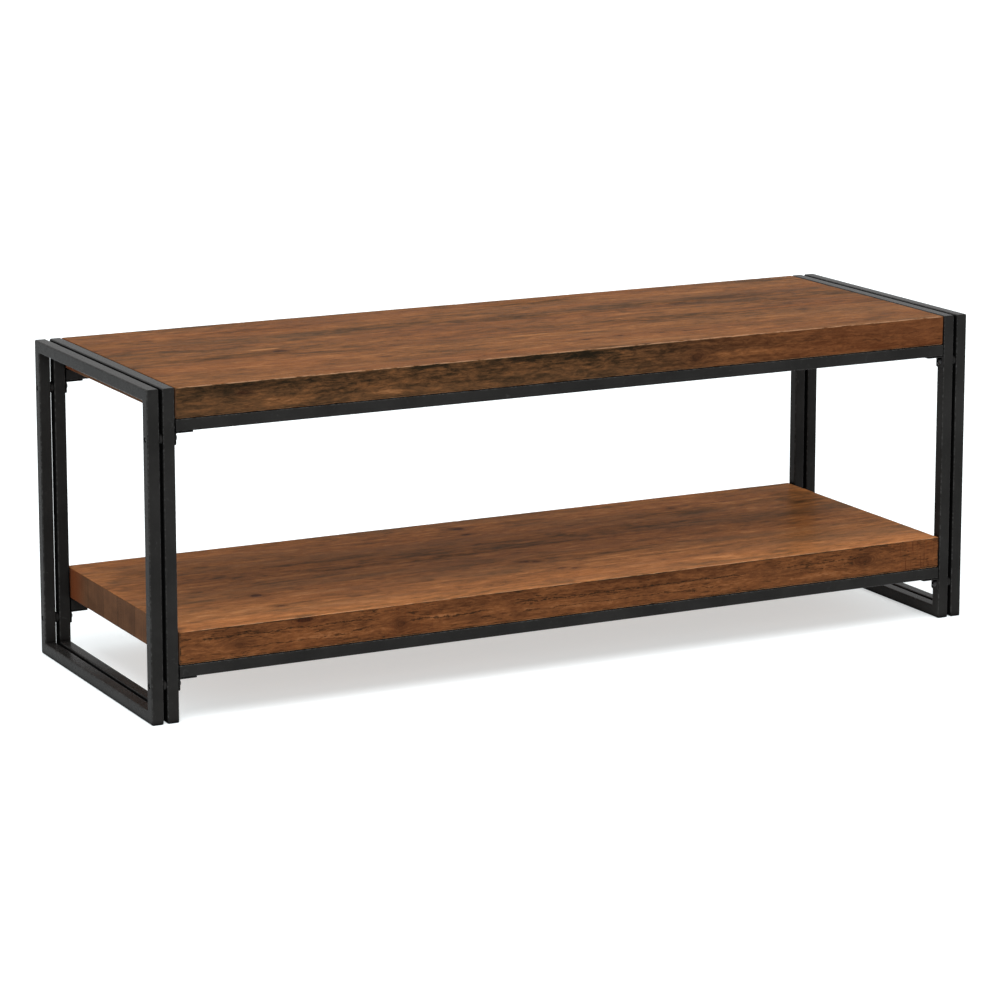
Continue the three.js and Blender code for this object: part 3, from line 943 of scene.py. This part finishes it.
def bolt_mesh(box, side):
    """A button-head bolt along X with its head towards the middle of the bench."""
    low, high = box
    length = (high[0] - low[0]) - BOLT_HEAD_HEIGHT
    head = (high[1] - low[1]) / 2
    start, end = BOLT_CHAMFER - length, BOLT_THREAD - length
    shank = [(0, -length), (BOLT_RADIUS - BOLT_CHAMFER, -length)]
    shank += [(BOLT_RADIUS, z) for z in rows(start, end, BOLT_PITCH / THREAD_STEPS)]
    shank += [(BOLT_RADIUS, -0.3 * MM), (BOLT_RADIUS + 0.3 * MM, 0)]
    rim = [(head - BOLT_RIM, 0), (head, BOLT_RIM)]
    shrink = 1 - 0.02 * MM / head
    crown = [(r * shrink, z + BOLT_RIM) for r, z in dome(head, BOLT_HEAD_HEIGHT - BOLT_RIM)[1:]]
    thread = thread_cut(start, end, BOLT_PITCH, BOLT_THREAD_DEPTH, 2 * MM)
    bm = lathe(shank + rim + crown, ROUND_STEPS, thread)
    across_corners = SOCKET_FLATS / math.sqrt(3)
    socket = prism(across_corners, 2 * SOCKET_DEPTH, (0, 0, 1), (0, 0, BOLT_HEAD_HEIGHT), 6)
    lead_in = bmesh.new()
    inner, outer, depth = LEAD_IN
    bmesh.ops.create_cone(
        lead_in, cap_ends=True, segments=HOLE_STEPS, radius1=inner, radius2=outer, depth=depth)
    bmesh.ops.translate(lead_in, vec=(0, 0, BOLT_HEAD_HEIGHT), verts=lead_in.verts)
    bm = drilled(bm, [socket])
    bm = drilled(bm, [mesh_of(lead_in, "lead_in")])
    head_x = low[0] + length if side < 0 else high[0] - length
    turn = Matrix.Rotation(-side * math.pi / 2, 4, "Y")
    centre = middle(box)
    bmesh.ops.transform(bm, matrix=Matrix.Translation((head_x, centre.y, centre.z)) @ turn, verts=bm.verts)
    return bm


def spacer_mesh(box):
    """A round spacer ring along X with eased rims."""
    low, high = box
    half = (high[0] - low[0]) / 2
    outer = (high[1] - low[1]) / 2
    bore = BOLT_RADIUS + HOLE_CLEARANCE
    ease = SPACER_EASE
    profile = [(bore, -half + ease), (bore + ease, -half), (outer - ease, -half), (outer, -half + ease),
               (outer, half - ease), (outer - ease, half), (bore + ease, half), (bore, half - ease)]
    bm = lathe(profile + profile[:1], ROUND_STEPS)
    turn = Matrix.Rotation(math.pi / 2, 4, "Y")
    bmesh.ops.transform(bm, matrix=Matrix.Translation(middle(box)) @ turn, verts=bm.verts)
    return bm


def screw_mesh(box):
    """A pan-head wood screw, point up, with a cross recess."""
    low, high = box
    length = (high[2] - low[2]) - SCREW_HEAD_HEIGHT
    head = (high[0] - low[0]) / 2
    end = -SCREW_NECK
    shank = [(0, -length)]
    for z in rows(-length, end, SCREW_PITCH / THREAD_STEPS)[1:]:
        shank.append((SCREW_RADIUS * min(1.0, (z + length) / SCREW_POINT + 0.02), z))
    shank += [(SCREW_CORE, end + 0.8 * MM), (SCREW_CORE, -0.6 * MM), (SCREW_RADIUS, 0)]
    crown = [(head - SCREW_RIM, 0)] + dome(head, SCREW_HEAD_HEIGHT)[1:]
    thread = thread_cut(SCREW_POINT - length, end, SCREW_PITCH, SCREW_THREAD_DEPTH, 3 * MM)
    bm = lathe(shank + crown, SCREW_STEPS, thread)
    long, narrow, tall = CROSS
    for size in ((long, narrow, tall), (narrow, long, tall)):
        arm = bmesh.new()
        bmesh.ops.create_cube(arm, size=1.0)
        bmesh.ops.scale(arm, vec=size, verts=arm.verts)
        bmesh.ops.translate(arm, vec=(0, 0, SCREW_HEAD_HEIGHT), verts=arm.verts)
        for vert in arm.verts:
            if vert.co.z < SCREW_HEAD_HEIGHT:
                vert.co.x *= CROSS_TAPER
                vert.co.y *= CROSS_TAPER
        bm = drilled(bm, [mesh_of(arm, "recess")])
    flip = Matrix.Rotation(math.pi, 4, "X")
    centre = middle(box)
    place = Matrix.Translation((centre.x, centre.y, low[2] + SCREW_HEAD_HEIGHT))
    bmesh.ops.transform(bm, matrix=place @ flip, verts=bm.verts)
    return bm


# ---- boards

def stations(low, high, step):
    """Places from low to high, close together near the edges."""
    near = [low + offset for offset in EDGE_OFFSETS]
    far = [high - offset for offset in reversed(EDGE_OFFSETS)]
    return near + rows(near[-1], far[0], step)[1:-1] + far


def edge_radius(point, seed, under):
    """How far an edge is eased here: never quite even, more underneath, with a nick now and then."""
    drift = noise.noise(Vector((point.x * 18, point.y * 4, seed)))
    nick = noise.noise(Vector((point.x * 75, point.y * 9 + 3, seed + 5)))
    radius = UNDER_RADIUS if under else EDGE_RADIUS * (1 + 0.45 * drift)
    return radius + max(0.0, nick - 0.38) * 7.0 * MM


def relief(point, normal, seed, roughness):
    """How far the planed surface lies below flat here, most on the front and back faces."""
    top = noise.noise(Vector((point.x * 5, point.y * 26, seed))) * 0.16
    side = noise.noise(Vector((point.x * 13, point.z * 95, seed + point.y))) * 0.22
    side += noise.noise(Vector((point.x * 46, point.z * 260, seed + 2 * point.y))) * 0.16
    end = noise.noise(Vector((seed, point.y * 60, point.z * 60))) * 0.1
    shares = (normal.x ** 2, normal.y ** 2, normal.z ** 2)
    return (shares[2] * (0.16 + top) + shares[1] * (0.38 + side) * roughness + shares[0] * (0.1 + end)) * MM


def board_mesh(box, seed, roughness):
    """A closed skin of small quads round the board: eased edges, planed faces, sawn ends."""
    low, high = Vector(box[0]), Vector(box[1])
    marks = [stations(low[i], high[i], BOARD_STEP[i]) for i in range(3)]
    last = [len(line) - 1 for line in marks]
    bm = bmesh.new()
    layer = bm.verts.layers.float.new("rim")
    made = {}

    def vertex(index):
        if index in made:
            return made[index]
        point = Vector([marks[i][index[i]] for i in range(3)])
        radius = edge_radius(point, seed, point.z < (low.z + high.z) / 2)
        core = Vector([min(max(point[i], low[i] + radius), high[i] - radius) for i in range(3)])
        normal = (point - core).normalized()
        placed = core + normal * (radius - relief(point, normal, seed, roughness))
        vert = bm.verts.new(placed)
        from_sides = sorted(min(point[i] - low[i], high[i] - point[i]) for i in range(3))
        vert[layer] = max(0.0, 1.0 - from_sides[1] / RIM_REACH)
        made[index] = vert
        return vert

    for axis in range(3):
        u, v = [i for i in range(3) if i != axis]
        for end in (0, last[axis]):
            for i in range(last[u]):
                for j in range(last[v]):
                    corners = []
                    for du, dv in ((0, 0), (1, 0), (1, 1), (0, 1)):
                        index = [0, 0, 0]
                        index[axis], index[u], index[v] = end, i + du, j + dv
                        corners.append(vertex(tuple(index)))
                    face = bm.faces.new(corners)
                    face.material_index = (2, 1, 0)[axis]
    return bm


# ---- the bench

def bolt_places(names):
    return [(middle(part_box(name)).y, middle(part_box(name)).z) for name in names]


def build_frames():
    for end in ENDS:
        bolts = bolt_places(f"{board}_{face}_{end}_bolt" for board in BOARDS for face in FACES)
        for layer in ("outer", "inner"):
            nodes = [f"{end}_{layer}_{part}" for part in ("front_leg", "back_leg", "top_bar", "bottom_bar")]
            welded = frame_mesh(*joined_box(nodes), bolts)
            add_piece(f"{end}_{layer}_welded_frame", welded, [COAT], nodes)


def build_rails():
    for board in BOARDS:
        for face in FACES:
            name = f"{board}_{face}"
            screws = sorted(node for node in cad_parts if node.startswith(f"{name}_screw_"))
            boxes = [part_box(node) for node in screws]
            access = (boxes[0][1][0] - boxes[0][0][0]) / 2 + ACCESS_CLEARANCE
            rail = rail_mesh(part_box(f"{name}_rail"), [middle(box).x for box in boxes], access)
            add_piece(f"{name}_rail_tube", rail, [COAT], [f"{name}_rail"])
            for i, (node, box) in enumerate(zip(screws, boxes)):
                add_piece(f"{name}_pan_screw_{i + 1}", screw_mesh(box), [ZINC], [node])


def build_fixings():
    for board in BOARDS:
        for face in FACES:
            for end, side in ENDS.items():
                name = f"{board}_{face}_{end}"
                bolt_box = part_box(f"{name}_bolt")
                bracket = bracket_mesh(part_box(f"{name}_bracket"), side, middle(bolt_box).z)
                add_piece(f"{name}_angle", bracket, [COAT], [f"{name}_bracket"])
                bolt = bolt_mesh(bolt_box, side)
                add_piece(f"{name}_button_bolt", bolt, [BOLT_BLACK], [f"{name}_bolt"])
                spacer = spacer_mesh(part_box(f"{name}_spacer"))
                add_piece(f"{name}_spacer_ring", spacer, [COAT], [f"{name}_spacer"])


def build_board(name, top, side, seed, joints, roughness):
    """joints are where the staves meet, as shares of the depth from the front."""
    node = f"{name}_board"
    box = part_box(node)
    materials = [
        wood_material(f"{name}_face_grain", top, box, False),
        wood_material(f"{name}_edge_grain", side, box, True),
        end_grain_material(f"{name}_end_grain", box, seed, joints),
    ]
    plank = board_mesh(box, seed, roughness)
    add_piece(f"{name}_plank", plank, materials, [node], flat=False)


build_frames()
build_rails()
build_fixings()
build_board("seat", SEAT_TOP, SEAT_SIDE, 4.0, (0.17, 0.39, 0.52, 0.71, 0.86), 0.8)
build_board("shelf", SHELF_TOP, SHELF_SIDE, 7.0, (0.28, 0.38, 0.535, 0.66, 0.80), 1.25)


# ---- stage, lights and camera

def add_floor():
    height = CAD_BOX[0][2] - FLOOR_GAP
    bm = bmesh.new()
    corners = ((-1, -1), (1, -1), (1, 1), (-1, 1))
    bm.faces.new([bm.verts.new((x * FLOOR_REACH, y * FLOOR_REACH, height)) for x, y in corners])
    floor = new_object("studio_floor", mesh_of(bm, "studio_floor"))
    material, graph, shader = new_material("studio_paper")
    place = graph.add("ShaderNodeTexCoord").outputs["Object"]
    shade = graph.noise(place, 2.0, 2.0)
    graph.fill(shader, {
        "Base Color": graph.mix(shade, *PAPER_TONES),
        "Roughness": 0.9,
        "Specular IOR Level": 0.05,
        "Emission Color": PAPER_GLOW,
        "Emission Strength": PAPER_GLOW_STRENGTH,
    })
    floor.data.materials.append(material)


def add_world():
    """A white studio, brightest overhead and behind the bench, dimmer behind the camera."""
    world = bpy.data.worlds.new("studio")
    bpy.context.scene.world = world
    world.use_nodes = True
    graph = Graph(world.node_tree)
    parts = graph.parts(graph.add("ShaderNodeTexCoord").outputs["Generated"])
    towards = graph.total(0.5, (parts["Y"], 0.5), (parts["Z"], 0.35))
    light = graph.ramp(towards, [(0.1, 0.42), (0.5, 0.62), (0.95, 1.0)], "EASE")
    seen = graph.add("ShaderNodeLightPath").outputs["Is Camera Ray"]
    colour = graph.mix(seen, light, (1.0, 1.0, 1.0, 1.0))
    graph.fill(world.node_tree.nodes["Background"], {"Color": colour, "Strength": 1.0})


def add_lights():
    """A broad light overhead and a large soft one in front."""
    sun = bpy.data.lights.new("overhead", "SUN")
    sun.energy = OVERHEAD_STRENGTH
    sun.angle = OVERHEAD_SPREAD
    new_object("overhead", sun).rotation_euler = OVERHEAD_TILT
    fill = bpy.data.lights.new("front_fill", "AREA")
    fill.shape = "RECTANGLE"
    fill.size, fill.size_y = FILL_SIZE
    fill.energy = FILL_POWER
    softbox = new_object("front_fill", fill)
    softbox.location = FILL_PLACE
    softbox.rotation_euler = (FILL_TARGET - FILL_PLACE).to_track_quat("-Z", "Y").to_euler()


def add_camera():
    """The studio camera: a long lens, three quarters from the left and a little above the seat."""
    camera = bpy.data.cameras.new("studio_camera")
    camera.sensor_width = CAMERA_SENSOR
    camera.lens = CAMERA_LENS
    camera.shift_y = CAMERA_SHIFT
    camera.clip_end = 100.0
    obj = new_object("studio_camera", camera)
    obj.location = CAMERA_PLACE
    obj.rotation_euler = Euler((math.pi / 2 + CAMERA_PITCH, 0, CAMERA_YAW))
    bpy.context.scene.camera = obj


add_floor()
add_world()
add_lights()
add_camera()
settings = bpy.context.scene.view_settings
settings.view_transform = "Standard"
settings.look = "None"
